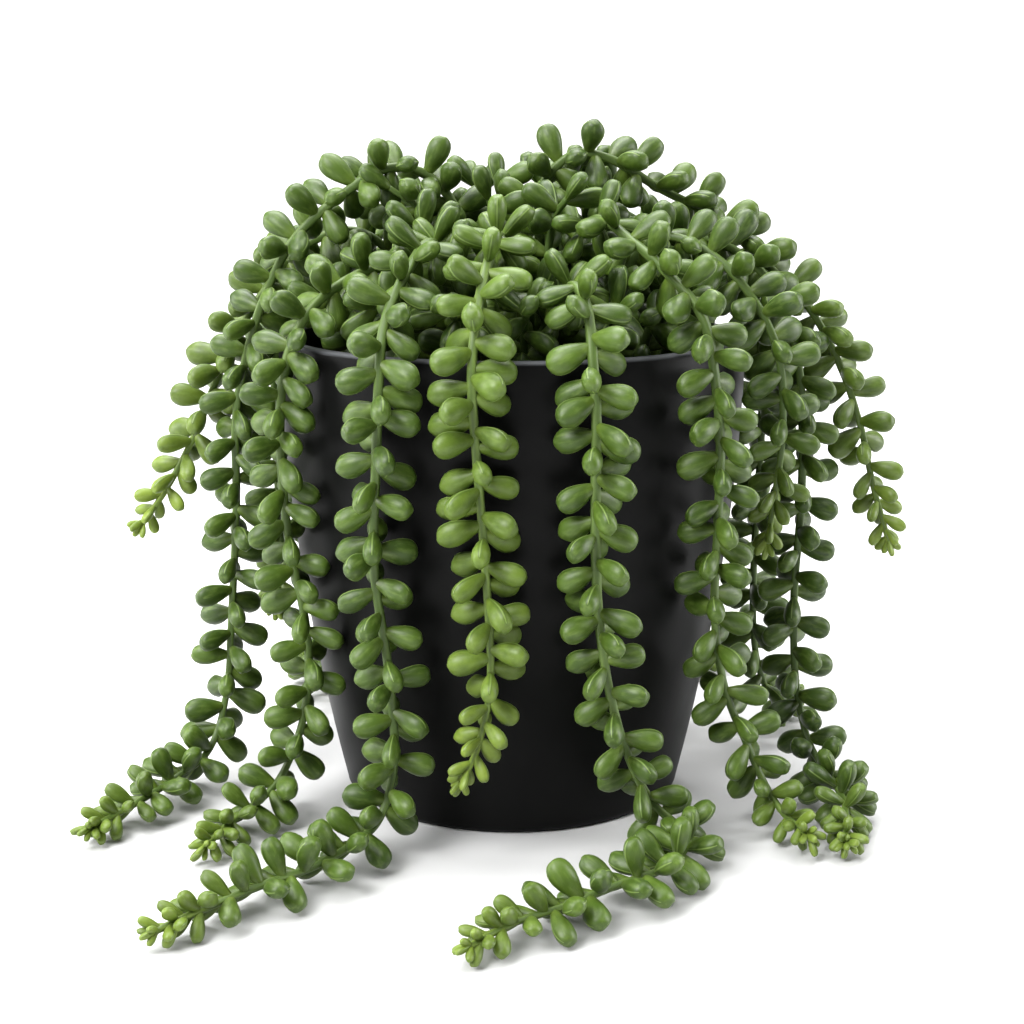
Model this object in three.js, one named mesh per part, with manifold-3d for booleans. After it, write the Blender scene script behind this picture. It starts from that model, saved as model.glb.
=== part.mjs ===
// Potted string of pearls: a trailing succulent with teardrop leaves in a tapered round pot.
// Millimetres, +Z up, origin at the centre of the pot's underside. The plant is shown standing on
// a flat surface, so the longest strands reach that surface and run out along it.
import * as THREE from "three";
import { mergeVertices } from "three/addons/utils/BufferGeometryUtils.js";
import Module from "manifold-3d";

const wasm = await Module();
wasm.setup();

// Pot
const POT_HEIGHT = 120;
const RIM_RADIUS = 60;
const BASE_RADIUS = 44;
const TAPER_POWER = 1.83; // how much faster the wall draws in towards the base than at the rim
const WALL = 3.6;
const FLOOR_THICKNESS = 5;
const FOOT_ROUNDING = 2.2;
const LIP_ROUNDING = 0.9;
const POT_SEGMENTS = 48;

// Potting mix
const MIX_TOP = 107;
const MIX_DOME = 2; // the mix is a little higher in the middle
const CLEARANCE = 0.3; // gap between pieces that touch
const ROOT_GAP = 1; // from the mix to the middle of a stem's end, which is cut across and slants

// Stems and leaves
const STEM_RADIUS = 1.15;
const STEM_SIDES = 4;
const STEM_STEP = 9; // distance from one cross-section of a stem to the next
const LEAF_LENGTH = 10.8;
const LEAF_WIDTH = 6.4;
const LEAF_SIDES = 4;
const BUD_ZONE = 34; // the last stretch of a strand, where the leaves are still growing
const BUD_SCALE = 0.45;
const TIP_BUD_SCALE = 0.6; // the bud that ends a strand, measured from inside the stem
const GOLDEN_ANGLE = Math.PI * (3 - Math.sqrt(5));
const STATIONS_PER_STEP = 4; // points that stand for a stretch of stem in the clearance test

const LEAF_GREEN = 0x5f8a35;
const TIP_GREEN = 0x8fb04a;
const POT_BLACK = 0x1b1c1c;
const MIX_BROWN = 0x2a221a;

// Routes of the stems that trail over the rim, going round the pot from the front left. The
// first point of each is its place on the mix.
const TRAILING = {
  strand_left_tip: [
    [-20, 16], [-27, 15, 132], [-40, 13, 145], [-55, 10, 141], [-67, 8, 127],
    [-76, 6, 111], [-83, 4, 94], [-91, 2, 79], [-98, 0, 69],
  ],
  strand_left: [
    [-9, 3], [-11, 2, 140], [-18, 1, 157], [-30, -3, 162], [-43, -7, 155], [-55, -9, 144],
    [-62, -10, 131], [-67, -9, 117], [-71, -7, 99], [-72, -5, 75], [-74, -5, 48], [-76, -6, 25],
    [-80, -12, 11], [-87, -23, 7], [-95, -40, 6], [-103, -53, 5],
  ],
  strand_front_left_outer: [
    [-18, -8], [-22, -13, 128], [-31, -21, 138], [-43, -31, 134], [-51, -36, 125],
    [-55, -37, 112], [-56, -36, 96], [-55, -34, 74], [-51, -33, 48], [-52, -33, 29],
    [-57, -34, 14], [-62, -39, 8], [-68, -49, 6], [-73, -64, 5],
  ],
  strand_front_left: [
    [-8, -12], [-13, -19, 132], [-19, -31, 145], [-25, -46, 138], [-29, -57, 128],
    [-30, -62, 116], [-31, -61, 98], [-32, -59, 72], [-29, -58, 46], [-28, -58, 25],
    [-31, -61, 12], [-36, -67, 8], [-45, -80, 7], [-56, -91, 7], [-68, -102, 6], [-76, -110, 5],
  ],
  strand_front: [
    [-1, -10], [-2, -20, 135], [-3, -34, 147], [-6, -51, 140], [-8, -62, 130],
    [-9, -66, 117], [-8, -65, 99], [-6, -64, 72], [-5, -64, 46], [-8, -64, 30], [-12, -64, 21],
  ],
  strand_front_right: [
    [8, -16], [11, -30, 127], [14, -45, 136], [17, -57, 132], [18, -64, 122],
    [19, -65, 107], [19, -64, 85], [20, -63, 62], [23, -62, 42], [28, -60, 25],
    [34, -57, 13], [40, -59, 8], [41, -68, 7], [34, -82, 7], [23, -91, 7], [11, -100, 6],
    [0, -108, 6], [-9, -117, 5],
  ],
  strand_right_front: [
    [10, -4], [13, -11, 136], [20, -23, 150], [29, -35, 145], [37, -45, 138],
    [44, -50, 129], [47, -50, 116], [49, -48, 98], [49, -46, 76], [49, -45, 56], [52, -43, 38],
    [58, -41, 23], [63, -42, 12], [67, -49, 7], [71, -59, 6],
  ],
  strand_right_short: [
    [20, -6], [25, -10, 130], [36, -16, 145], [48, -22, 142], [58, -26, 132],
    [65, -27, 118], [67, -25, 100], [66, -24, 84], [64, -24, 69],
  ],
  strand_right: [
    [22, 4], [30, 0, 134], [45, -5, 145], [61, -8, 138], [70, -9, 124], [74, -9, 104],
    [75, -8, 78], [74, -8, 52], [75, -9, 29], [78, -14, 14], [82, -25, 8], [83, -41, 7],
    [80, -61, 5],
  ],
  strand_right_tip: [
    [3, 6], [3, 3, 140], [7, 0, 156], [15, -1, 165], [25, -1, 164], [37, 1, 157],
    [52, 3, 149], [66, 3, 137], [77, 2, 126], [85, 1, 112], [91, 0, 96], [95, 0, 80],
    [100, 0, 64],
  ],
  strand_back_right_outer: [
    [18, 14], [27, 18, 134], [42, 23, 146], [57, 27, 139], [66, 29, 125], [69, 29, 106],
    [69, 28, 80], [68, 27, 52], [69, 28, 28], [74, 33, 12], [80, 44, 7], [84, 58, 5],
  ],
  strand_back_right: [
    [9, 15], [16, 23, 138], [28, 34, 149], [40, 46, 141], [46, 53, 128], [48, 55, 112],
    [48, 54, 90], [47, 53, 66], [46, 53, 46], [47, 55, 31],
  ],
  strand_back_inner_right: [
    [9, 26], [14, 36, 128], [21, 50, 139], [26, 60, 133], [28, 65, 120], [29, 65, 100],
    [28, 63, 74], [27, 62, 48], [28, 63, 27], [31, 68, 13], [38, 78, 7], [50, 86, 7],
    [62, 91, 6], [72, 98, 5],
  ],
  strand_back: [
    [0, 17], [1, 28, 138], [3, 42, 149], [5, 56, 141], [6, 65, 128], [6, 68, 112],
    [5, 67, 88], [4, 66, 62], [5, 66, 41], [8, 66, 27],
  ],
  strand_back_inner_left: [
    [-8, 26], [-11, 37, 129], [-15, 50, 140], [-19, 60, 134], [-21, 65, 121],
    [-21, 66, 101], [-21, 64, 76], [-20, 63, 50], [-21, 64, 28], [-25, 69, 13], [-31, 80, 7],
    [-27, 93, 7], [-17, 102, 6], [-5, 108, 5],
  ],
  strand_back_left: [
    [-12, 15], [-18, 24, 138], [-28, 34, 148], [-38, 46, 141], [-44, 54, 129],
    [-46, 57, 112], [-46, 55, 88], [-45, 53, 62], [-47, 54, 36], [-51, 57, 18], [-57, 64, 8],
    [-63, 77, 6], [-66, 91, 5],
  ],
  strand_back_left_outer: [
    [-28, 25], [-33, 28, 128], [-42, 31, 141], [-55, 31, 137], [-63, 32, 123],
    [-66, 32, 104], [-66, 31, 78], [-65, 30, 54], [-67, 30, 38],
  ],
};

// Short sprigs that fill the crown: direction in degrees, how far the root and the tip stand from
// the middle, and how much higher the tip is than the root. The tall ones fill the middle, and the
// short ones lean out towards the rim.
const SPRIGS = [
  [-168, 17, 32, 50], [-140, 17, 32, 42], [-110, 16, 30, 38], [-80, 21, 40, 26], [-58, 14, 26, 48],
  [24, 18, 34, 54], [46, 16, 30, 52], [74, 17, 32, 50], [108, 18, 34, 50], [140, 17, 32, 48],
  [168, 20, 38, 52], [-140, 4, 8, 47], [105, 10, 14, 50], [30, 12, 16, 50],
  [-160, 38, 51, 24], [-131, 38, 51, 24], [-107, 38, 51, 24], [-86, 38, 51, 24],
  [-60, 38, 51, 24], [-35, 38, 51, 24], [-12, 38, 51, 24], [12, 38, 51, 24], [36, 38, 51, 24],
  [58, 38, 51, 24], [76, 38, 51, 24], [97, 38, 51, 24], [118, 38, 51, 24], [150, 38, 51, 24],
  [172, 38, 51, 24],
];
// How a sprig bends: shares of the way out and of the way up.
const SPRIG_BENDS = [[0.1, 0.45], [0.4, 0.85], [1, 1]];

const green = (shade) => new THREE.MeshStandardMaterial({
  color: shade,
  roughness: 0.5,
  metalness: 0,
});

function solidOf(geometry) {
  const bare = new THREE.BufferGeometry();
  bare.setAttribute("position", geometry.getAttribute("position"));
  bare.setIndex(geometry.index);
  const merged = mergeVertices(bare, 1e-4);
  return new wasm.Manifold(new wasm.Mesh({
    numProp: 3,
    vertProperties: new Float32Array(merged.getAttribute("position").array),
    triVerts: new Uint32Array(merged.index.array),
  }));
}

function geometryOf(solid) {
  const mesh = solid.getMesh();
  const geometry = new THREE.BufferGeometry();
  geometry.setAttribute("position", new THREE.BufferAttribute(mesh.vertProperties, 3));
  geometry.setIndex(new THREE.BufferAttribute(mesh.triVerts, 1));
  geometry.computeVertexNormals();
  return geometry;
}

// Outer radius of the pot at a height: nearly straight below the rim, curving in to the base.
function potRadius(z) {
  const down = 1 - THREE.MathUtils.clamp(z / POT_HEIGHT, 0, 1);
  return RIM_RADIUS - (RIM_RADIUS - BASE_RADIUS) * down ** TAPER_POWER;
}

// A wall profile from one height to another, set off inwards from the outside.
function wallProfile(fromZ, toZ, inset, count) {
  return Array.from({ length: count + 1 }, (_, i) => {
    const z = THREE.MathUtils.lerp(fromZ, toZ, i / count);
    return new THREE.Vector2(potRadius(z) - inset, z);
  });
}

function pot() {
  const profile = [
    new THREE.Vector2(0, 0),
    new THREE.Vector2(BASE_RADIUS - FOOT_ROUNDING, 0),
    ...wallProfile(FOOT_ROUNDING, POT_HEIGHT - LIP_ROUNDING, 0, 7),
    new THREE.Vector2(RIM_RADIUS - LIP_ROUNDING, POT_HEIGHT),
    new THREE.Vector2(RIM_RADIUS - WALL + LIP_ROUNDING, POT_HEIGHT),
    ...wallProfile(POT_HEIGHT - LIP_ROUNDING, FLOOR_THICKNESS, WALL, 4),
    new THREE.Vector2(0, FLOOR_THICKNESS),
  ];
  const finish = new THREE.MeshStandardMaterial({
    color: POT_BLACK,
    roughness: 0.45,
    metalness: 0,
  });
  const mesh = new THREE.Mesh(new THREE.LatheGeometry(profile, POT_SEGMENTS), finish);
  mesh.rotation.x = Math.PI / 2;
  mesh.name = "pot";
  return mesh;
}

function pottingMix() {
  const bottom = FLOOR_THICKNESS + CLEARANCE;
  const profile = [
    new THREE.Vector2(0, bottom),
    ...wallProfile(bottom, MIX_TOP - MIX_DOME, WALL + 2 * CLEARANCE, 4),
    new THREE.Vector2(0, MIX_TOP),
  ];
  const finish = new THREE.MeshStandardMaterial({
    color: MIX_BROWN,
    roughness: 0.95,
    metalness: 0,
  });
  const mesh = new THREE.Mesh(new THREE.LatheGeometry(profile, POT_SEGMENTS), finish);
  mesh.rotation.x = Math.PI / 2;
  mesh.name = "potting_mix";
  return mesh;
}

// Height of the mix at a distance from the pot's axis.
function mixHeight(fromAxis) {
  return MIX_TOP - (MIX_DOME * fromAxis) / (RIM_RADIUS - WALL);
}

// The route of a stem with its first point set just above the mix.
function rooted([[x, y], ...rest]) {
  return [[x, y, mixHeight(Math.hypot(x, y)) + ROOT_GAP], ...rest];
}

function sprigRoute([degrees, root, reach, height]) {
  const turn = THREE.MathUtils.degToRad(degrees);
  const at = (out) => [Math.cos(turn) * out, Math.sin(turn) * out];
  const bends = SPRIG_BENDS.map(([share, up]) => [
    ...at(THREE.MathUtils.lerp(root, reach, share)),
    mixHeight(root) + ROOT_GAP + height * up,
  ]);
  return [at(root), ...bends];
}

// A leaf grows from each cross-section of its stem but the first.
function stepsOf(curve) {
  return Math.round(curve.getLength() / STEM_STEP);
}

// Points a short step apart along a stem, each with the stem's direction and a side direction
// that is carried along without twisting.
function stationsOf(curve) {
  const length = curve.getLength();
  const count = STATIONS_PER_STEP * stepsOf(curve);
  const stations = [];
  let side = new THREE.Vector3(1, 0, 0);
  for (let i = 0; i <= count; i++) {
    const along = curve.getTangentAt(i / count);
    side = side.clone().addScaledVector(along, -side.dot(along)).normalize();
    stations.push({ point: curve.getPointAt(i / count), along, side, run: (length * i) / count });
  }
  return stations;
}

// A repeatable number between -1 and 1 that differs from leaf to leaf.
function wobble(seed) {
  const wave = Math.sin(seed * 12.9898) * 43758.5453;
  return 2 * (wave - Math.floor(wave)) - 1;
}

// Three balls that fill a leaf, for the clearance test.
function ballsOf(leaf) {
  return [[0.36, 0.3], [0.64, 0.53], [0.86, 0.36]].map(([share, half]) => ({
    centre: leaf.root.clone().addScaledVector(leaf.axis, leaf.length * share),
    radius: leaf.width * half,
  }));
}

function clearOfPot({ centre, radius }) {
  const fromAxis = Math.hypot(centre.x, centre.y);
  const gap = radius + CLEARANCE;
  if (centre.z < gap) return false;
  if (centre.z > POT_HEIGHT + gap) return true;
  const outside = fromAxis > potRadius(centre.z) + gap;
  const inside = fromAxis < potRadius(centre.z) - WALL - gap && centre.z > MIX_TOP + gap;
  return outside || inside;
}

const takenBalls = [];
const allStations = [];

function clearOfPlant(ball, strand, run) {
  const near = (other, radius) =>
    ball.centre.distanceTo(other) < ball.radius + radius + CLEARANCE;
  if (takenBalls.some((taken) => near(taken.centre, taken.radius))) return false;
  return !allStations.some((station) => {
    const ownNeighbour = station.strand === strand && Math.abs(station.run - run) < LEAF_LENGTH;
    return !ownNeighbour && near(station.point, 1.2 * STEM_RADIUS);
  });
}

// The first direction round the stem, out of a few near the wanted one, that leaves room.
function placeLeaf(strand, station, turn, size, seed) {
  const across = new THREE.Vector3().crossVectors(station.along, station.side);
  for (const shift of [0, 0.5, -0.5, 1, -1, 1.6, -1.6]) {
    const angle = turn + shift;
    const outward = station.side.clone().multiplyScalar(Math.cos(angle));
    outward.addScaledVector(across, Math.sin(angle));
    const lean = 0.25 + 0.15 * wobble(seed) + (1 - size) * 0.9;
    const leaf = {
      root: station.point,
      axis: outward.multiplyScalar(Math.cos(lean)).addScaledVector(station.along, Math.sin(lean)),
      length: LEAF_LENGTH * size,
      width: LEAF_WIDTH * size,
    };
    const balls = ballsOf(leaf);
    if (balls.every((ball) => clearOfPot(ball) && clearOfPlant(ball, strand, station.run))) {
      takenBalls.push(...balls);
      return leaf;
    }
  }
  return null;
}

function leavesOf(strand, stations) {
  const length = stations.at(-1).run;
  const leaves = [];
  for (let i = STATIONS_PER_STEP; i < stations.length - 1; i += STATIONS_PER_STEP) {
    const young = Math.min((length - stations[i].run) / BUD_ZONE, 1);
    const size = THREE.MathUtils.lerp(BUD_SCALE, 1, young) * (1 + 0.06 * wobble(i + 7));
    const leaf = placeLeaf(strand, stations[i], i * GOLDEN_ANGLE, size, i);
    if (leaf) leaves.push(leaf);
  }
  const { point, along } = stations.at(-1);
  leaves.push({
    root: point.clone().addScaledVector(along, -2 * STEM_RADIUS),
    axis: along,
    length: LEAF_LENGTH * TIP_BUD_SCALE,
    width: LEAF_WIDTH * TIP_BUD_SCALE,
  });
  return leaves;
}

// A leaf is widest past the middle, and its narrow end starts inside the stem.
function leafSolid(leaf) {
  const profile = [
    new THREE.Vector2(0, 0),
    new THREE.Vector2(leaf.width / 2, leaf.length * 0.64),
    new THREE.Vector2(0, leaf.length),
  ];
  const shape = new THREE.LatheGeometry(profile, LEAF_SIDES);
  const turn = new THREE.Quaternion().setFromUnitVectors(new THREE.Vector3(0, 1, 0), leaf.axis);
  shape.applyQuaternion(turn);
  shape.translate(leaf.root.x, leaf.root.y, leaf.root.z);
  return solidOf(shape);
}

function stemSolid(curve) {
  const corners = Array.from({ length: STEM_SIDES }, (_, i) => {
    const turn = (2 * Math.PI * (i + 0.5)) / STEM_SIDES;
    return new THREE.Vector2(Math.cos(turn), Math.sin(turn)).multiplyScalar(STEM_RADIUS);
  });
  return solidOf(new THREE.ExtrudeGeometry(new THREE.Shape(corners), {
    extrudePath: curve,
    steps: stepsOf(curve),
    bevelEnabled: false,
  }));
}

function plant() {
  const sprigs = SPRIGS.map((row, i) => [`sprig_${i + 1}`, sprigRoute(row)]);
  const strands = [...Object.entries(TRAILING), ...sprigs].map(([name, route]) => {
    const points = rooted(route).map((point) => new THREE.Vector3(...point));
    const curve = new THREE.CatmullRomCurve3(points, false, "catmullrom", 0.5);
    return { name, curve, stations: stationsOf(curve) };
  });
  for (const { name, stations } of strands) {
    allStations.push(...stations.map(({ point, run }) => ({ point, run, strand: name })));
  }
  return strands.map(({ name, curve, stations }) => {
    let solid = stemSolid(curve);
    for (const leaf of leavesOf(name, stations)) {
      solid = solid.add(leafSolid(leaf));
    }
    const young = name === "strand_front" || name.endsWith("_tip");
    const mesh = new THREE.Mesh(geometryOf(solid), green(young ? TIP_GREEN : LEAF_GREEN));
    mesh.name = name;
    return mesh;
  });
}

const pottedPlant = new THREE.Group();
pottedPlant.add(pot(), pottingMix(), ...plant());

export default pottedPlant;
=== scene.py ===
import math

import bpy
import numpy as np
from mathutils import Matrix, Quaternion, Vector


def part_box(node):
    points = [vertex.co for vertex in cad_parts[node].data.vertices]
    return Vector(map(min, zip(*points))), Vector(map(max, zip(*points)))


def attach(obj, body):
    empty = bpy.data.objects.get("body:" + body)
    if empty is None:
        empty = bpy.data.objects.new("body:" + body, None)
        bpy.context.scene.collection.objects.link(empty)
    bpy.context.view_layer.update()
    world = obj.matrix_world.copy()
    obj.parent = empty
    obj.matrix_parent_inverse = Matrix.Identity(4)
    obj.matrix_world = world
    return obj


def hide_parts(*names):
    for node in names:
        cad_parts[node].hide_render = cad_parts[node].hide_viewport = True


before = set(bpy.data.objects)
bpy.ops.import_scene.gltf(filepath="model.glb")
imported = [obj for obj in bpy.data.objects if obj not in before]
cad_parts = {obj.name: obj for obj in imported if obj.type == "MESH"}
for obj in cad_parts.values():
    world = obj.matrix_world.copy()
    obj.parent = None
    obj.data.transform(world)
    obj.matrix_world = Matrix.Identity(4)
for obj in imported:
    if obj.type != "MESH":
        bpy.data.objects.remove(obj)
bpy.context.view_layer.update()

# ---------------------------------------------------------------------------------------------
# Pot. One round pot pressed from clay with a curved taper, dipped in a satin black glaze. The
# wall is turned up ring by ring from the foot, over a thin rounded lip and down the inside.
# ---------------------------------------------------------------------------------------------
POT_SIDES = 128
POT_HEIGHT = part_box("pot")[1].z
RIM_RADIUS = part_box("pot")[1].x
BASE_RADIUS = 0.044
TAPER_POWER = 1.83
WALL = 0.0036
POT_FLOOR = 0.005
FOOT_ROUNDING = 0.0022
LIP_ROUNDING = 0.0009
LIP_DEPTH = 0.004
GLAZE_DARK = (0.0016, 0.0017, 0.0016, 1)
GLAZE_LIGHT = (0.0034, 0.0035, 0.0034, 1)
# A lighter grey painted on the top of the lip, as a painted highlight of the top light.
LIP_HIGHLIGHT_GREY = (0.075, 0.078, 0.083, 1)


# Outside radius of the pot at a height.
def pot_radius(z):
    down = 1 - min(max(z / POT_HEIGHT, 0), 1)
    return RIM_RADIUS - (RIM_RADIUS - BASE_RADIUS) * down ** TAPER_POWER


def deselect_all():
    if bpy.context.object and bpy.context.object.mode != "OBJECT":
        bpy.ops.object.mode_set(mode="OBJECT")
    bpy.ops.object.select_all(action="DESELECT")


# Turns up a round piece from rings of (radius, height). The first and last rings are closed to
# a point on the axis.
def turned(name, rings, sides):
    deselect_all()
    radius, height = rings[0]
    bpy.ops.mesh.primitive_circle_add(
        vertices=sides, radius=radius, fill_type="TRIFAN", location=(0, 0, height))
    piece = bpy.context.object
    piece.name = name
    bpy.ops.object.transform_apply(location=True)
    bpy.ops.object.mode_set(mode="EDIT")
    bpy.ops.mesh.select_all(action="SELECT")
    bpy.ops.mesh.region_to_loop()
    for next_radius, next_height in rings[1:]:
        bpy.ops.mesh.extrude_edges_move(
            TRANSFORM_OT_translate={"value": (0, 0, next_height - height)})
        grow = next_radius / radius
        bpy.ops.transform.resize(value=(grow, grow, 1))
        radius, height = next_radius, next_height
    bpy.ops.mesh.extrude_edges_move(TRANSFORM_OT_translate={"value": (0, 0, 0)})
    bpy.ops.mesh.merge(type="CENTER")
    bpy.ops.mesh.select_all(action="SELECT")
    bpy.ops.mesh.normals_make_consistent(inside=False)
    bpy.ops.object.mode_set(mode="OBJECT")
    return piece


# A quarter round from one direction to another, in degrees from straight out.
def quarter_round(centre_radius, centre_height, rounding, start, end, steps=5):
    turns = [math.radians(start + (end - start) * i / steps) for i in range(steps + 1)]
    return [(centre_radius + rounding * math.cos(t), centre_height + rounding * math.sin(t))
            for t in turns]


foot = quarter_round(pot_radius(FOOT_ROUNDING) - FOOT_ROUNDING, FOOT_ROUNDING,
                     FOOT_ROUNDING, -90, 0)
wall_heights = np.linspace(FOOT_ROUNDING, POT_HEIGHT - LIP_ROUNDING, 30)[1:-1]
wall_outside = [(pot_radius(z), z) for z in wall_heights]
lip_outside = quarter_round(RIM_RADIUS - LIP_ROUNDING, POT_HEIGHT - LIP_ROUNDING,
                            LIP_ROUNDING, 0, 90)
lip_inside = quarter_round(RIM_RADIUS - WALL + LIP_ROUNDING, POT_HEIGHT - LIP_ROUNDING,
                           LIP_ROUNDING, 90, 180)
inside_heights = np.linspace(POT_HEIGHT - LIP_DEPTH, POT_FLOOR, 14)
wall_inside = [(pot_radius(z) - WALL, z) for z in inside_heights]
pot = turned("pot_shell", foot + wall_outside + lip_outside + lip_inside + wall_inside,
             POT_SIDES)
bpy.ops.object.shade_smooth_by_angle(angle=math.radians(50))


# A new material, with values for the sockets of its shader.
def principled(name, **values):
    material = bpy.data.materials.new(name)
    material.use_nodes = True
    shader = material.node_tree.nodes["Principled BSDF"]
    for socket, value in values.items():
        shader.inputs[socket.replace("_", " ")].default_value = value
    return material, shader


def add_node(material, kind, **settings):
    node = material.node_tree.nodes.new(kind)
    for key, value in settings.items():
        if key in node.inputs:
            node.inputs[key].default_value = value
        else:
            setattr(node, key, value)
    return node


def link(material, source, target):
    material.node_tree.links.new(source, target)


# A colour between two colours or sockets.
def blended(material, factor, first, second):
    mix_node = add_node(material, "ShaderNodeMix", data_type="RGBA")
    link(material, factor, mix_node.inputs["Factor"])
    for socket, value in ((mix_node.inputs[6], first), (mix_node.inputs[7], second)):
        if isinstance(value, tuple):
            socket.default_value = value
        else:
            link(material, value, socket)
    return mix_node.outputs[2]


# A value from one range carried to another and held there.
def ranged(material, value, low, high, to_low, to_high):
    node = add_node(material, "ShaderNodeMapRange")
    for key, number in (("From Min", low), ("From Max", high),
                        ("To Min", to_low), ("To Max", to_high)):
        node.inputs[key].default_value = number
    link(material, value, node.inputs["Value"])
    return node.outputs["Result"]


black_glaze, glaze_shader = principled(
    "satin_black_glaze", Specular_IOR_Level=0.08, Coat_Weight=0.03, Coat_Roughness=0.3)
place = add_node(black_glaze, "ShaderNodeTexCoord")
mottle = add_node(black_glaze, "ShaderNodeTexNoise", Scale=60.0, Detail=6.0, Roughness=0.6)
link(black_glaze, place.outputs["Object"], mottle.inputs["Vector"])
tone = add_node(black_glaze, "ShaderNodeValToRGB")
tone.color_ramp.elements[0].color = GLAZE_DARK
tone.color_ramp.elements[1].color = GLAZE_LIGHT
link(black_glaze, mottle.outputs["Fac"], tone.inputs["Fac"])
height = add_node(black_glaze, "ShaderNodeSeparateXYZ")
link(black_glaze, place.outputs["Object"], height.inputs["Vector"])
# The top of the rounded lip is painted a lighter grey. This is a painted highlight where the top
# light catches the lip.
lip_highlight_share = ranged(black_glaze, height.outputs["Z"], POT_HEIGHT - LIP_ROUNDING,
                    POT_HEIGHT - LIP_ROUNDING / 4, 0, 1)
lip_highlighted = blended(black_glaze, lip_highlight_share, tone.outputs["Color"], LIP_HIGHLIGHT_GREY)
link(black_glaze, lip_highlighted, glaze_shader.inputs["Base Color"])
gloss = ranged(black_glaze, mottle.outputs["Fac"], 0, 1, 0.4, 0.5)
link(black_glaze, gloss, glaze_shader.inputs["Roughness"])
grain = add_node(black_glaze, "ShaderNodeTexNoise", Scale=900.0, Detail=3.0)
link(black_glaze, place.outputs["Object"], grain.inputs["Vector"])
glaze_bump = add_node(black_glaze, "ShaderNodeBump", Strength=0.05, Distance=0.0002)
link(black_glaze, grain.outputs["Fac"], glaze_bump.inputs["Height"])
link(black_glaze, glaze_bump.outputs["Normal"], glaze_shader.inputs["Normal"])
pot.data.materials.append(black_glaze)
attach(pot, "root")
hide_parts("pot")

# ---------------------------------------------------------------------------------------------
# Potting mix. Dark peat and fine bark that fills the pot to just under the rim, a little higher
# in the middle. It is turned as a solid plug, and its top is then roughened.
# ---------------------------------------------------------------------------------------------
MIX_LOW, MIX_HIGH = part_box("potting_mix")
MIX_DOME = 0.002
MIX_GAP = 0.0006
MIX_RINGS = 26
MIX_SIDES = 96
CRUMB_SIZE = 0.0035
CRUMB_HEIGHT = 0.0035
PEAT_DARK = (0.012, 0.008, 0.005, 1)
BARK_BROWN = (0.055, 0.036, 0.022, 1)

side_heights = np.linspace(MIX_LOW.z, MIX_HIGH.z - MIX_DOME, 8)
mix_side = [(pot_radius(z) - WALL - MIX_GAP, z) for z in side_heights]
edge_radius = mix_side[-1][0]
mix_top = [(edge_radius * (1 - i / MIX_RINGS), MIX_HIGH.z - MIX_DOME * (1 - i / MIX_RINGS))
           for i in range(1, MIX_RINGS)]
mix = turned("potting_mix_plug", mix_side + mix_top, MIX_SIDES)
crumb = bpy.data.textures.new("crumb", "CLOUDS")
crumb.noise_scale = CRUMB_SIZE
crumb.noise_depth = 3
top_only = mix.vertex_groups.new(name="top")
edge_height = MIX_HIGH.z - MIX_DOME + 1e-5
top_only.add([v.index for v in mix.data.vertices if v.co.z > edge_height], 1, "ADD")
roughen = mix.modifiers.new("roughen", "DISPLACE")
roughen.texture = crumb
roughen.texture_coords = "LOCAL"
roughen.vertex_group = "top"
roughen.strength = CRUMB_HEIGHT
roughen.mid_level = 0.7
bpy.ops.object.modifier_apply(modifier="roughen")
bpy.ops.object.shade_smooth()
peat, peat_shader = principled("peat_and_bark", Roughness=0.95, Specular_IOR_Level=0.2)
place = add_node(peat, "ShaderNodeTexCoord")
flakes = add_node(peat, "ShaderNodeTexVoronoi", Scale=420.0)
link(peat, place.outputs["Object"], flakes.inputs["Vector"])
flake_tone = add_node(peat, "ShaderNodeValToRGB")
flake_tone.color_ramp.elements[0].color = PEAT_DARK
flake_tone.color_ramp.elements[1].color = BARK_BROWN
link(peat, flakes.outputs["Distance"], flake_tone.inputs["Fac"])
link(peat, flake_tone.outputs["Color"], peat_shader.inputs["Base Color"])
mix.data.materials.append(peat)
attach(mix, "root")
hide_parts("potting_mix")

# ---------------------------------------------------------------------------------------------
# One leaf, the pearl. A plump teardrop moulded in soft satin plastic, with a fine raised seam
# down both edges and a tiny point. It is turned up once with a few dozen faces, from rings given
# as shares of its half width and of its length. Every leaf of the plant is a copy of it.
# ---------------------------------------------------------------------------------------------
LEAF_LENGTH = 0.0106
LEAF_WIDTH = 0.0060
LEAF_SIDES = 8
LEAF_RINGS = [(0.30, 0.0), (0.52, 0.15), (0.84, 0.37), (1.06, 0.61), (0.97, 0.82), (0.57, 0.965)]
LEAF_TIP = 1.03
SEAM_PROUD = 1.04
LEAF_THICKNESS = 0.84
SEAM_CREASE = 0.7

leaf = turned("leaf", [(share * LEAF_WIDTH / 2, height * LEAF_LENGTH)
                       for share, height in LEAF_RINGS], LEAF_SIDES)
leaf_tip = max(leaf.data.vertices, key=lambda v: v.co.z)
leaf_tip.co.z = LEAF_LENGTH * LEAF_TIP
bpy.ops.object.mode_set(mode="EDIT")
bpy.ops.mesh.select_mode(type="EDGE")
bpy.ops.mesh.select_all(action="DESELECT")
bpy.ops.object.mode_set(mode="OBJECT")


# The two lines of the leaf that its mould closes on.
def on_seam(vertex):
    return abs(vertex.co.y) < 1e-6 and abs(vertex.co.x) > 1e-6


for vertex in leaf.data.vertices:
    vertex.co.y *= LEAF_THICKNESS
    if on_seam(vertex):
        vertex.co.x *= SEAM_PROUD
for edge in leaf.data.edges:
    ends = [leaf.data.vertices[i] for i in edge.vertices]
    rises = abs(ends[0].co.z - ends[1].co.z) > 1e-6
    edge.select = rises and all(abs(v.co.y) < 1e-6 for v in ends)
bpy.ops.object.mode_set(mode="EDIT")
bpy.ops.transform.edge_crease(value=SEAM_CREASE)
bpy.ops.object.mode_set(mode="OBJECT")
bpy.ops.object.shade_smooth()


# Gives every vertex of a mesh its own value, for a material to read.
def add_values(mesh, name, values):
    mesh.attributes.new(name, "FLOAT", "POINT").data.foreach_set("value", values)


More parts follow.
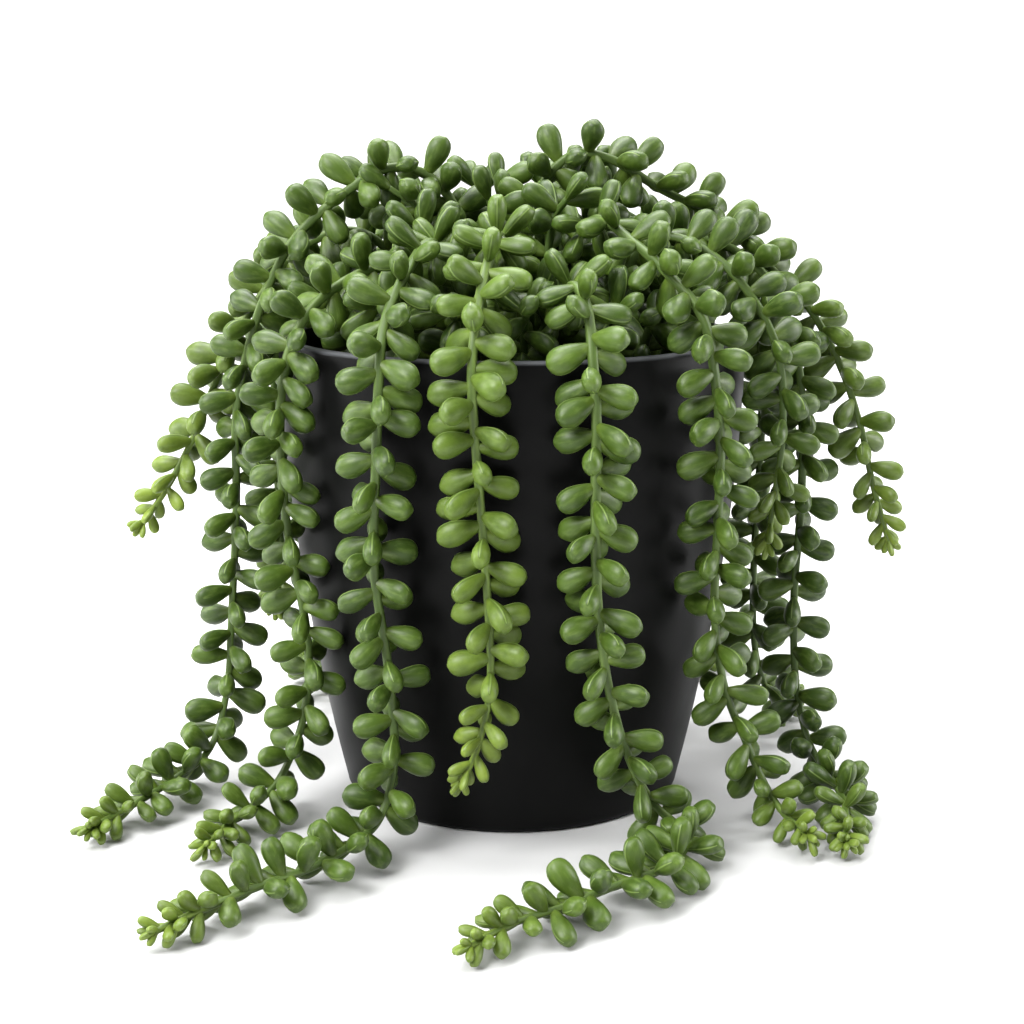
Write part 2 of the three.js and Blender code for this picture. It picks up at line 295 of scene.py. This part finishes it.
no_value = [0.0] * len(leaf.data.vertices)
add_values(leaf.data, "along", [v.co.z / LEAF_LENGTH for v in leaf.data.vertices])
add_values(leaf.data, "seam", [1.0 if on_seam(v) else 0.0 for v in leaf.data.vertices])
own_place = leaf.data.attributes.new("own_place", "FLOAT_VECTOR", "POINT")
own_place.data.foreach_set("vector", [c for v in leaf.data.vertices for c in v.co])
add_values(leaf.data, "shade", no_value)
add_values(leaf.data, "youth", no_value)


def attribute_of(material, name):
    return add_node(material, "ShaderNodeAttribute", attribute_name=name).outputs["Fac"]


# Old and fresh leaves, young ones near a tip, painted shade in the crease beside the seam, the
# seam's pale line and the dusty bloom.
DEEP_GREEN = (0.024, 0.050, 0.004, 1)
FRESH_GREEN = (0.080, 0.138, 0.014, 1)
YOUNG_GREEN = (0.180, 0.250, 0.032, 1)
SEAM_GREEN = (0.235, 0.330, 0.090, 1)
BLOOM_GREEN = (0.150, 0.222, 0.050, 1)

waxy_leaf, leaf_shader = principled(
    "waxy_leaf", Roughness=0.45, Specular_IOR_Level=0.37, Subsurface_Weight=0.05,
    Subsurface_Radius=(0.5, 1.0, 0.25), Subsurface_Scale=0.002)
place = add_node(waxy_leaf, "ShaderNodeTexCoord")
grown = blended(waxy_leaf, attribute_of(waxy_leaf, "shade"), DEEP_GREEN, FRESH_GREEN)
aged = blended(waxy_leaf, attribute_of(waxy_leaf, "youth"), grown, YOUNG_GREEN)
at_stem = ranged(waxy_leaf, attribute_of(waxy_leaf, "along"), 0.0, 0.35, 0.3, 0)
neck = blended(waxy_leaf, at_stem, aged, YOUNG_GREEN)
cloud = add_node(waxy_leaf, "ShaderNodeTexNoise", Scale=240.0, Detail=4.0, Roughness=0.6)
link(waxy_leaf, place.outputs["Object"], cloud.inputs["Vector"])
dark_patch = ranged(waxy_leaf, cloud.outputs["Fac"], 0.42, 0.72, 0, 0.55)
clouded = blended(waxy_leaf, dark_patch, neck, DEEP_GREEN)
along_leaf = add_node(waxy_leaf, "ShaderNodeAttribute", attribute_name="own_place")
stretch = add_node(waxy_leaf, "ShaderNodeMapping")
stretch.inputs["Scale"].default_value = (1, 1, 0.3)
link(waxy_leaf, along_leaf.outputs["Vector"], stretch.inputs["Vector"])
veins = add_node(waxy_leaf, "ShaderNodeTexNoise", noise_dimensions="4D", Scale=900.0, Detail=3.0)
link(waxy_leaf, stretch.outputs["Vector"], veins.inputs["Vector"])
vein_seed = ranged(waxy_leaf, attribute_of(waxy_leaf, "shade"), 0, 1, 0, 40)
link(waxy_leaf, vein_seed, veins.inputs["W"])
pale_streak = ranged(waxy_leaf, veins.outputs["Fac"], 0.48, 0.75, 0, 0.5)
bloomed = blended(waxy_leaf, pale_streak, clouded, BLOOM_GREEN)
# A band on both sides of each seam is painted darker green. This is painted shade in the crease
# along the leaf's edge.
crease_shade_share = ranged(waxy_leaf, attribute_of(waxy_leaf, "seam"), 0.55, 0.80, 0, 0.45)
crease_shaded = blended(waxy_leaf, crease_shade_share, bloomed, DEEP_GREEN)
seam_line = ranged(waxy_leaf, attribute_of(waxy_leaf, "seam"), 0.86, 0.96, 0, 0.55)
lined = blended(waxy_leaf, seam_line, crease_shaded, SEAM_GREEN)
link(waxy_leaf, lined, leaf_shader.inputs["Base Color"])
pores = add_node(waxy_leaf, "ShaderNodeTexNoise", Scale=1100.0, Detail=3.0)
link(waxy_leaf, place.outputs["Object"], pores.inputs["Vector"])
pore_bump = add_node(waxy_leaf, "ShaderNodeBump", Strength=0.16, Distance=0.0002)
link(waxy_leaf, pores.outputs["Fac"], pore_bump.inputs["Height"])
link(waxy_leaf, pore_bump.outputs["Normal"], leaf_shader.inputs["Normal"])
leaf.data.materials.append(waxy_leaf)
leaf_mesh = leaf.data
bpy.data.objects.remove(leaf)

# ---------------------------------------------------------------------------------------------
# Stems. Each is a soft green cord with fine grooves, thicker where it leaves the mix and thin at
# the tip, with a small swelling at every leaf. It is a bevelled curve turned into a mesh, and it
# follows the stem of its CAD node from the mix to the tip.
# ---------------------------------------------------------------------------------------------
MM = 0.001
STEM_ROOT_RADIUS = 1.48 * MM
STEM_TIP_RADIUS = 0.92 * MM
SWELLING = 1.06
STEP = 2.0 * MM
STEM_SIDES = 8
STEM_DARK = (0.045, 0.082, 0.014, 1)
STEM_LIGHT = (0.165, 0.240, 0.055, 1)
GROOVE = 0.80
ROOT_DEPTH = 4 * MM
CURVE_STEPS = 24

# Way points of the trailing stems, in millimetres. The first of each is its place on the mix.
TRAILING = {
    "strand_left_tip": [
        (-20, 16), (-27, 15, 132), (-40, 13, 145), (-55, 10, 141), (-67, 8, 127),
        (-76, 6, 111), (-83, 4, 94), (-91, 2, 79), (-98, 0, 69)],
    "strand_left": [
        (-9, 3), (-11, 2, 140), (-18, 1, 157), (-30, -3, 162), (-43, -7, 155),
        (-55, -9, 144), (-62, -10, 131), (-67, -9, 117), (-71, -7, 99), (-72, -5, 75),
        (-74, -5, 48), (-76, -6, 25), (-80, -12, 11), (-87, -23, 7), (-95, -40, 6),
        (-103, -53, 5)],
    "strand_front_left_outer": [
        (-18, -8), (-22, -13, 128), (-31, -21, 138), (-43, -31, 134), (-51, -36, 125),
        (-55, -37, 112), (-56, -36, 96), (-55, -34, 74), (-51, -33, 48), (-52, -33, 29),
        (-57, -34, 14), (-62, -39, 8), (-68, -49, 6), (-73, -64, 5)],
    "strand_front_left": [
        (-8, -12), (-13, -19, 132), (-19, -31, 145), (-25, -46, 138), (-29, -57, 128),
        (-30, -62, 116), (-31, -61, 98), (-32, -59, 72), (-29, -58, 46), (-28, -58, 25),
        (-31, -61, 12), (-36, -67, 8), (-45, -80, 7), (-56, -91, 7), (-68, -102, 6),
        (-76, -110, 5)],
    "strand_front": [
        (-1, -10), (-2, -20, 135), (-3, -34, 147), (-6, -51, 140), (-8, -62, 130),
        (-9, -66, 117), (-8, -65, 99), (-6, -64, 72), (-5, -64, 46), (-8, -64, 30),
        (-12, -64, 21)],
    "strand_front_right": [
        (8, -16), (11, -30, 127), (14, -45, 136), (17, -57, 132), (18, -64, 122),
        (19, -65, 107), (19, -64, 85), (20, -63, 62), (23, -62, 42), (28, -60, 25),
        (34, -57, 13), (40, -59, 8), (41, -68, 7), (34, -82, 7), (23, -91, 7), (11, -100, 6),
        (0, -108, 6), (-9, -117, 5)],
    "strand_right_front": [
        (10, -4), (13, -11, 136), (20, -23, 150), (29, -35, 145), (37, -45, 138),
        (44, -50, 129), (47, -50, 116), (49, -48, 98), (49, -46, 76), (49, -45, 56),
        (52, -43, 38), (58, -41, 23), (63, -42, 12), (67, -49, 7), (71, -59, 6)],
    "strand_right_short": [
        (20, -6), (25, -10, 130), (36, -16, 145), (48, -22, 142), (58, -26, 132),
        (65, -27, 118), (67, -25, 100), (66, -24, 84), (64, -24, 69)],
    "strand_right": [
        (22, 4), (30, 0, 134), (45, -5, 145), (61, -8, 138), (70, -9, 124),
        (74, -9, 104), (75, -8, 78), (74, -8, 52), (75, -9, 29), (78, -14, 14), (82, -25, 8),
        (83, -41, 7), (80, -61, 5)],
    "strand_right_tip": [
        (3, 6), (3, 3, 140), (7, 0, 156), (15, -1, 165), (25, -1, 164), (37, 1, 157),
        (52, 3, 149), (66, 3, 137), (77, 2, 126), (85, 1, 112), (91, 0, 96), (95, 0, 80),
        (100, 0, 64)],
    "strand_back_right_outer": [
        (18, 14), (27, 18, 134), (42, 23, 146), (57, 27, 139), (66, 29, 125),
        (69, 29, 106), (69, 28, 80), (68, 27, 52), (69, 28, 28), (74, 33, 12), (80, 44, 7),
        (84, 58, 5)],
    "strand_back_right": [
        (9, 15), (16, 23, 138), (28, 34, 149), (40, 46, 141), (46, 53, 128),
        (48, 55, 112), (48, 54, 90), (47, 53, 66), (46, 53, 46), (47, 55, 31)],
    "strand_back_inner_right": [
        (9, 26), (14, 36, 128), (21, 50, 139), (26, 60, 133), (28, 65, 120),
        (29, 65, 100), (28, 63, 74), (27, 62, 48), (28, 63, 27), (31, 68, 13), (38, 78, 7),
        (50, 86, 7), (62, 91, 6), (72, 98, 5)],
    "strand_back": [
        (0, 17), (1, 28, 138), (3, 42, 149), (5, 56, 141), (6, 65, 128), (6, 68, 112),
        (5, 67, 88), (4, 66, 62), (5, 66, 41), (8, 66, 27)],
    "strand_back_inner_left": [
        (-8, 26), (-11, 37, 129), (-15, 50, 140), (-19, 60, 134), (-21, 65, 121),
        (-21, 66, 101), (-21, 64, 76), (-20, 63, 50), (-21, 64, 28), (-25, 69, 13),
        (-31, 80, 7), (-27, 93, 7), (-17, 102, 6), (-5, 108, 5)],
    "strand_back_left": [
        (-12, 15), (-18, 24, 138), (-28, 34, 148), (-38, 46, 141), (-44, 54, 129),
        (-46, 57, 112), (-46, 55, 88), (-45, 53, 62), (-47, 54, 36), (-51, 57, 18),
        (-57, 64, 8), (-63, 77, 6), (-66, 91, 5)],
    "strand_back_left_outer": [
        (-28, 25), (-33, 28, 128), (-42, 31, 141), (-55, 31, 137), (-63, 32, 123),
        (-66, 32, 104), (-66, 31, 78), (-65, 30, 54), (-67, 30, 38)],
}

# Sprigs: direction in degrees, how far the root and the tip stand from the middle, and how much
# higher the tip is than the root, in millimetres. The tall ones fill the middle of the crown and
# the short ones lean out towards the rim.
SPRIGS = [
    (-168, 17, 32, 50), (-140, 17, 32, 42), (-110, 16, 30, 38), (-80, 21, 40, 26),
    (-58, 14, 26, 48), (24, 18, 34, 54), (46, 16, 30, 52), (74, 17, 32, 50),
    (108, 18, 34, 50), (140, 17, 32, 48), (168, 20, 38, 52), (-140, 4, 8, 47),
    (105, 10, 14, 50), (30, 12, 16, 50),
    (-160, 38, 51, 24), (-131, 38, 51, 24), (-107, 38, 51, 24), (-86, 38, 51, 24),
    (-60, 38, 51, 24), (-35, 38, 51, 24), (-12, 38, 51, 24), (12, 38, 51, 24),
    (36, 38, 51, 24), (58, 38, 51, 24), (76, 38, 51, 24), (97, 38, 51, 24),
    (118, 38, 51, 24), (150, 38, 51, 24), (172, 38, 51, 24)]
# How far out and how high a sprig has come at each of its bends, as shares of the whole.
SPRIG_BENDS = ((0.1, 0.45), (0.4, 0.85), (1, 1))
ROOT_GAP_MM = 1


# Height of the mix at a distance from the pot's axis, in millimetres.
def mix_height(from_axis):
    top, dome, edge = (value / MM for value in (MIX_HIGH.z, MIX_DOME, RIM_RADIUS - WALL))
    return top - dome * from_axis / edge


def sprig_route(degrees, root, reach, height):
    turn = math.radians(degrees)
    low = mix_height(root) + ROOT_GAP_MM
    bends = [(root + (reach - root) * share, low + height * up) for share, up in SPRIG_BENDS]
    return [(math.cos(turn) * root, math.sin(turn) * root)] + [
        (math.cos(turn) * out, math.sin(turn) * out, z) for out, z in bends]


# The first point of a route is its place on the mix, and gets the mix's height here.
def rooted(route):
    x, y = route[0]
    return [(x, y, mix_height(math.hypot(x, y)) + ROOT_GAP_MM)] + route[1:]


# Points a short, even step apart on a smooth curve through a route, in metres.
def smooth_route(route):
    corners = [Vector(p) * MM for p in route]
    corners = [2 * corners[0] - corners[1]] + corners + [2 * corners[-1] - corners[-2]]
    fine = []
    for a, b, c, d in zip(corners, corners[1:], corners[2:], corners[3:]):
        for i in range(CURVE_STEPS):
            t = i / CURVE_STEPS
            leaving = (c - a) / 2
            arriving = (d - b) / 2
            fine.append(b * (2 * t**3 - 3 * t**2 + 1) + leaving * (t**3 - 2 * t**2 + t)
                        + c * (3 * t**2 - 2 * t**3) + arriving * (t**3 - t**2))
    fine.append(corners[-2])
    fine = np.array(fine)
    runs = np.concatenate([[0], np.cumsum(np.linalg.norm(np.diff(fine, axis=0), axis=1))])
    even = np.linspace(0, runs[-1], round(runs[-1] / STEP) + 1)
    points = np.column_stack([np.interp(even, runs, fine[:, k]) for k in range(3)])
    return points, even


# The direction of a stem at each point, and a side direction carried along without twisting.
def carried_frame(points):
    directions = np.gradient(points, axis=0)
    directions /= np.linalg.norm(directions, axis=1)[:, None]
    sides = []
    side = np.array([1.0, 0.0, 0.0])
    for direction in directions:
        side = side - side.dot(direction) * direction
        side /= np.linalg.norm(side)
        sides.append(side)
    return directions, np.array(sides)


routes = dict(TRAILING)
for number, row in enumerate(SPRIGS, 1):
    routes[f"sprig_{number}"] = sprig_route(*row)
strands = {}
for name, route in routes.items():
    points, runs = smooth_route(rooted(route))
    directions, sides = carried_frame(points)
    strands[name] = {"points": points, "runs": runs, "directions": directions, "sides": sides}


def stem_radius(run, length):
    return STEM_ROOT_RADIUS + (STEM_TIP_RADIUS - STEM_ROOT_RADIUS) * (run / length) ** 2


stem_green, stem_shader = principled(
    "stem", Roughness=0.5, Specular_IOR_Level=0.35, Subsurface_Weight=0.06,
    Subsurface_Radius=(0.5, 1.0, 0.25), Subsurface_Scale=0.001)
place = add_node(stem_green, "ShaderNodeTexCoord")
streak = add_node(stem_green, "ShaderNodeTexNoise", Scale=180.0, Detail=4.0)
link(stem_green, place.outputs["Object"], streak.inputs["Vector"])
stem_old = blended(stem_green, attribute_of(stem_green, "shade"), STEM_DARK, STEM_LIGHT)
stem_tone = blended(stem_green, attribute_of(stem_green, "youth"), stem_old, YOUNG_GREEN)
fleck = ranged(stem_green, streak.outputs["Fac"], 0.4, 0.7, 0, 0.6)
stem_flecked = blended(stem_green, fleck, stem_tone, STEM_DARK)
# The grooves are painted darker green. This is painted shade in the recesses of the stem.
groove_shade_share = ranged(stem_green, attribute_of(stem_green, "ridge"), 0, 1, 0.7, 0)
stem_groove_shaded = blended(stem_green, groove_shade_share, stem_flecked, STEM_DARK)
link(stem_green, stem_groove_shaded, stem_shader.inputs["Base Color"])


# A stem as a mesh. Every other line of vertices is drawn in as a groove, and the vertices of the
# two caps, which come first, are then merged with the end rings.
def stem_piece(name, strand, leaf_runs, shade, youth):
    curve = bpy.data.curves.new(name, "CURVE")
    curve.dimensions = "3D"
    curve.bevel_depth = 1.0
    curve.bevel_resolution = STEM_SIDES // 2 - 2
    curve.use_fill_caps = True
    length = strand["runs"][-1]
    below = strand["points"][0] - strand["directions"][0] * ROOT_DEPTH
    line = [below, *strand["points"]]
    runs = [0, *strand["runs"]]
    spline = curve.splines.new("POLY")
    spline.points.add(len(line) - 1)
    for point, place_on_stem, run in zip(spline.points, line, runs):
        at_leaf = any(abs(run - leaf_run) < STEP / 2 for leaf_run in leaf_runs)
        point.co = (*place_on_stem, 1)
        point.radius = stem_radius(run, length) * (SWELLING if at_leaf else 1)
    deselect_all()
    piece = bpy.data.objects.new(name, curve)
    bpy.context.collection.objects.link(piece)
    piece.select_set(True)
    bpy.context.view_layer.objects.active = piece
    bpy.ops.object.convert(target="MESH")
    piece = bpy.context.object
    cap_count = 2 * STEM_SIDES
    rings = [len(line) - 1] * STEM_SIDES + [0] * STEM_SIDES
    rings += [i // STEM_SIDES for i in range(len(piece.data.vertices) - cap_count)]
    for i, vertex in enumerate(piece.data.vertices):
        if i % 2:
            middle = Vector(line[rings[i]])
            vertex.co = middle + (vertex.co - middle) * GROOVE
    add_values(piece.data, "ridge", [float(i % 2 == 0) for i in range(len(rings))])
    add_values(piece.data, "shade", [shade] * len(rings))
    add_values(piece.data, "youth", [youth(runs[ring]) for ring in rings])
    bpy.ops.object.mode_set(mode="EDIT")
    bpy.ops.mesh.select_all(action="SELECT")
    bpy.ops.mesh.remove_doubles(threshold=1e-6)
    bpy.ops.object.mode_set(mode="OBJECT")
    piece.data.materials.append(stem_green)
    return piece


# ---------------------------------------------------------------------------------------------
# Strands and sprigs, each moulded in soft satin plastic as one piece. Leaves stand all round the
# stem, a golden angle apart or at the nearest turn that has room. Near the tip of a trailing
# strand they are smaller, closer and yellower, and it ends in a cluster of buds.
# ---------------------------------------------------------------------------------------------
GOLDEN_ANGLE = math.pi * (3 - math.sqrt(5))
LEAF_PITCH = 2.45 * MM
FLOOR_PITCH = 2.0 * MM
FLOOR_RUN = 0.0085
FIRST_LEAF = 5 * MM
BUD_ZONE = 31 * MM
BUD_SCALE = 0.46
BUD_WIDTH = 0.74
BUD_DEPTH = 1 * MM
END_GAP = 1 * MM
END_BUDS = 3
END_BUD_LEAN = 52
END_BUD_SPREAD = 8
SPRIG_BUD_SCALE = 0.9
# How a leaf leans towards the tip, in degrees, and how much leaves differ from one another.
LEAN = 15
LEAN_SPREAD = 13
TIP_LEAN = 38
ROLL_SPREAD = 16
TURN_SPREAD = 0.25
SIZE_SPREAD = 0.07
SHADE_SPREAD = 0.28
# Three balls that stand for a leaf: their places as shares of its length, and their radii as
# shares of its width. They may overlap another leaf's by TOUCH, and the pot or a stem by half.
BALLS = ((0.36, 0.30), (0.60, 0.50), (0.82, 0.42))
TOUCH = 0.6 * MM
FLOOR_GAP = 0.3 * MM
MOST_BALLS = 9000
# Turns away from its own that a leaf tries one after another, in radians.
TURNS_TRIED = (0, 0.35, -0.35, 0.7, -0.7, 1.1, -1.1, 1.6, -1.6)

stem_points = np.concatenate([strand["points"] for strand in strands.values()])
stem_runs = np.concatenate([strand["runs"] for strand in strands.values()])
stem_owner = np.concatenate([np.full(len(strand["runs"]), i)
                             for i, strand in enumerate(strands.values())])
taken = np.zeros((MOST_BALLS, 4))
taken_count = 0


# A repeatable number between -1 and 1 that differs from leaf to leaf.
def wobble(seed):
    wave = math.sin(seed * 12.9898) * 43758.5453
    return 2 * (wave - math.floor(wave)) - 1


# Whether a ball is clear of the ground and of the pot with its mix.
def clear_of_pot(centre, radius):
    reach = math.hypot(centre[0], centre[1])
    gap = radius - TOUCH / 2
    if centre[2] < radius + FLOOR_GAP:
        return False
    if centre[2] > POT_HEIGHT + gap:
        return True
    outer = pot_radius(centre[2])
    inside = reach < outer - WALL - gap and centre[2] > MIX_HIGH.z + gap
    return reach > outer + gap or inside


# Whether a ball is clear of the leaves placed so far and of every stem but its own near its root.
def clear_of_plant(centre, radius, owner, run):
    others = taken[:taken_count]
    if len(others):
        away = np.linalg.norm(others[:, :3] - centre, axis=1)
        if (away < others[:, 3] + radius - TOUCH).any():
            return False
    away = np.linalg.norm(stem_points - centre, axis=1)
    close = away < radius + STEM_ROOT_RADIUS - TOUCH / 2
    own = (stem_owner == owner) & (np.abs(stem_runs - run) < LEAF_LENGTH)
    return not (close & ~own).any()


# Where a leaf has room: its root, its axis and the stem's direction. None if no turn is free.
# The end buds don't pass through here.
def place_leaf(owner, strand, at, turn, size, slim, lean):
    global taken_count
    direction = strand["directions"][at]
    side = strand["sides"][at]
    across = np.cross(direction, side)
    for shift in TURNS_TRIED:
        angle = turn + shift
        outward = side * math.cos(angle) + across * math.sin(angle)
        axis = outward * math.cos(lean) + direction * math.sin(lean)
        root = strand["points"][at]
        balls = [(root + axis * (LEAF_LENGTH * size * share), LEAF_WIDTH * size * slim * half)
                 for share, half in BALLS]
        run = strand["runs"][at]
        if all(clear_of_pot(c, r) and clear_of_plant(c, r, owner, run) for c, r in balls):
            for centre, radius in balls:
                taken[taken_count] = (*centre, radius)
                taken_count += 1
            return Vector(root), Vector(axis), Vector(direction)
    return None


# A copy of the leaf at its place, with its seam in line with the stem but for a small roll. A
# bud that points along the stem takes any edge.
def leaf_copy(name, spot, size, slim, roll, shade, youth):
    root, axis, direction = spot
    edge = direction - axis * direction.dot(axis)
    if edge.length < 0.1:
        edge = axis.orthogonal()
    edge = Quaternion(axis, roll) @ edge.normalized()
    face = axis.cross(edge)
    turn = Matrix((edge, face, axis)).transposed().to_4x4()
    copy = bpy.data.objects.new(name, leaf_mesh.copy())
    grow = Matrix.Diagonal((size * slim, size * slim, size, 1))
    copy.data.transform(Matrix.Translation(root) @ turn @ grow)
    count = len(copy.data.vertices)
    copy.data.attributes["shade"].data.foreach_set("value", [shade] * count)
    copy.data.attributes["youth"].data.foreach_set("value", [youth] * count)
    bpy.context.collection.objects.link(copy)
    return copy


# How young and how fresh the leaves of some strands are, from 0 to 1.
YOUNG_STRANDS = {"strand_front": 0.55, "strand_left_tip": 0.75, "strand_right_tip": 0.3}
OTHERS_FRESH = 0.27
FRESH_STRANDS = {"strand_front": 0.75, "strand_front_right": 0.5, "strand_front_left": 0.38,
                 "strand_right_front": 0.38, "strand_front_left_outer": 0.45, "strand_left": 0.4}
for owner, (name, strand) in enumerate(strands.items()):
    length = strand["runs"][-1]
    trails = name in TRAILING
    young_share = YOUNG_STRANDS.get(name, 0)
    fresh_share = FRESH_STRANDS.get(name, OTHERS_FRESH)

    def youth_at(run):
        tip = max(0.0, 1 - (length - run) / BUD_ZONE) ** 1.5
        whole = young_share * max(0.0, run / length) ** 2
        return min(1.0, 0.75 * tip + whole) if trails else 0.0

    leaves = []
    leaf_runs = []
    run = FIRST_LEAF
    k = 0
    while run < length - END_GAP:
        grown_share = min((length - run) / BUD_ZONE, 1) ** 0.7 if trails else 1
        own_size = 1 + SIZE_SPREAD * wobble(k + owner)
        size = (BUD_SCALE + (1 - BUD_SCALE) * grown_share) * own_size
        slim = BUD_WIDTH + (1 - BUD_WIDTH) * grown_share
        at = min(round(run / STEP), len(strand["points"]) - 1)
        lean = math.radians(LEAN + LEAN_SPREAD * wobble(3 * k + owner)
                            + TIP_LEAN * (1 - grown_share))
        turn = k * GOLDEN_ANGLE + TURN_SPREAD * wobble(5 * k + 2 * owner)
        spot = place_leaf(owner, strand, at, turn, size, slim, lean)
        if spot:
            shade = min(max(fresh_share + SHADE_SPREAD * wobble(7 * k + owner), 0), 1)
            roll = math.radians(ROLL_SPREAD) * wobble(11 * k + owner)
            leaves.append(leaf_copy(name + "_leaf", spot, size, slim, roll, shade, youth_at(run)))
            leaf_runs.append(strand["runs"][at])
        pitch = FLOOR_PITCH if strand["points"][at][2] < FLOOR_RUN else LEAF_PITCH
        run += pitch * (0.40 + 0.60 * grown_share)
        k += 1
    tip_direction = Vector(strand["directions"][-1])
    tip_root = Vector(strand["points"][-1]) - tip_direction * BUD_DEPTH
    leaves.append(leaf_copy(name + "_bud", (tip_root, tip_direction, tip_direction),
                            BUD_SCALE if trails else SPRIG_BUD_SCALE,
                            BUD_WIDTH if trails else 1, 0, fresh_share, youth_at(length)))
    for i in range(END_BUDS if trails else 0):
        turn = i * 2 * math.pi / END_BUDS + owner
        outward = Quaternion(tip_direction, turn) @ Vector(strand["sides"][-1])
        lean = math.radians(END_BUD_LEAN + END_BUD_SPREAD * wobble(13 * i + owner))
        axis = outward * math.cos(lean) + tip_direction * math.sin(lean)
        size = BUD_SCALE * (0.95 - 0.10 * (i % 2))
        leaves.append(leaf_copy(name + "_bud", (tip_root, axis, tip_direction),
                                size, BUD_WIDTH, 0, fresh_share, youth_at(length)))
    piece = stem_piece(name + "_pearls", strand, leaf_runs, fresh_share, youth_at)
    deselect_all()
    for one in leaves:
        one.select_set(True)
    piece.select_set(True)
    bpy.context.view_layer.objects.active = piece
    bpy.ops.object.join()
    bpy.ops.object.shade_smooth()
    smooth = piece.modifiers.new("smooth", "SUBSURF")
    smooth.levels = 1
    smooth.render_levels = 1
    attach(piece, "root")
    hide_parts(name)

# ---------------------------------------------------------------------------------------------
# Studio. A pale sweep that curves up behind the plant, soft boxes on both sides and above, and
# a camera a little above the pot, looking down at it. Past the sweep all looks white, but gives
# only a weak light.
# ---------------------------------------------------------------------------------------------
SWEEP_WIDTH = 2.0
SWEEP_FRONT = -1.0
SWEEP_BACK = 1.6
SWEEP_ROUND = 0.8
SWEEP_HEIGHT = 3.0
SWEEP_STEPS = 12
SKY_LIGHT = 0.08
SKY_SEEN = 1.0

deselect_all()
bpy.ops.mesh.primitive_plane_add(size=1)
sweep = bpy.context.object
sweep.name = "studio_sweep"
sweep.data.clear_geometry()
sweep_line = [(SWEEP_FRONT, 0.0)]
for i in range(SWEEP_STEPS + 1):
    turn = math.radians(90 * i / SWEEP_STEPS)
    sweep_line.append((SWEEP_BACK + SWEEP_ROUND * math.sin(turn),
                       SWEEP_ROUND * (1 - math.cos(turn))))
sweep_line.append((SWEEP_BACK + SWEEP_ROUND, SWEEP_HEIGHT))
corners = [(x, y, z) for y, z in sweep_line for x in (-SWEEP_WIDTH / 2, SWEEP_WIDTH / 2)]
faces = [(2 * i, 2 * i + 1, 2 * i + 3, 2 * i + 2) for i in range(len(sweep_line) - 1)]
sweep.data.from_pydata(corners, [], faces)
for polygon in sweep.data.polygons:
    polygon.use_smooth = True
paper = principled("studio_paper", Base_Color=(0.55, 0.55, 0.55, 1),
                   Roughness=0.9, Specular_IOR_Level=0.1)[0]
sweep.data.materials.append(paper)

world = bpy.data.worlds.new("studio")
world.use_nodes = True
sky = world.node_tree.nodes["Background"]
sky.inputs["Color"].default_value = (1, 1, 1, 1)
seen = world.node_tree.nodes.new("ShaderNodeLightPath")
glow = world.node_tree.nodes.new("ShaderNodeMapRange")
glow.inputs["To Min"].default_value = SKY_LIGHT
glow.inputs["To Max"].default_value = SKY_SEEN
world.node_tree.links.new(seen.outputs["Is Camera Ray"], glow.inputs["Value"])
world.node_tree.links.new(glow.outputs["Result"], sky.inputs["Strength"])
bpy.context.scene.world = world


# A soft box at a place, turned towards a target.
def soft_box(name, place, target, size, watts):
    light = bpy.data.lights.new(name, "AREA")
    light.shape = "RECTANGLE"
    light.size, light.size_y = size
    light.energy = watts
    box = bpy.data.objects.new(name, light)
    box.location = place
    box.rotation_euler = (Vector(target) - Vector(place)).to_track_quat("-Z", "Y").to_euler()
    bpy.context.collection.objects.link(box)


soft_box("top_light", (-0.1, 0.0, 1.3), (0, 0, 0.05), (1.4, 1.4), 27)
soft_box("key_light", (-0.7, -0.85, 1.0), (0, 0, 0.08), (0.7, 0.7), 34)
soft_box("left_light", (-1.1, 0.1, 0.4), (0, 0, 0.08), (0.4, 0.9), 13)
soft_box("right_light", (1.1, 0.1, 0.4), (0, 0, 0.08), (0.25, 0.9), 14)
soft_box("back_light", (0, 1.2, 2.4), (0, 1.9, 0.4), (2.4, 0.8), 125)

camera_data = bpy.data.cameras.new("camera")
camera_data.sensor_width = 36
camera_data.lens = 63.3
camera = bpy.data.objects.new("camera", camera_data)
camera.location = (0, -0.465, 0.173)
camera.rotation_euler = (math.radians(90 - 12.2), 0, 0)
bpy.context.collection.objects.link(camera)
bpy.context.scene.camera = camera
bpy.context.scene.view_settings.view_transform = "Standard"
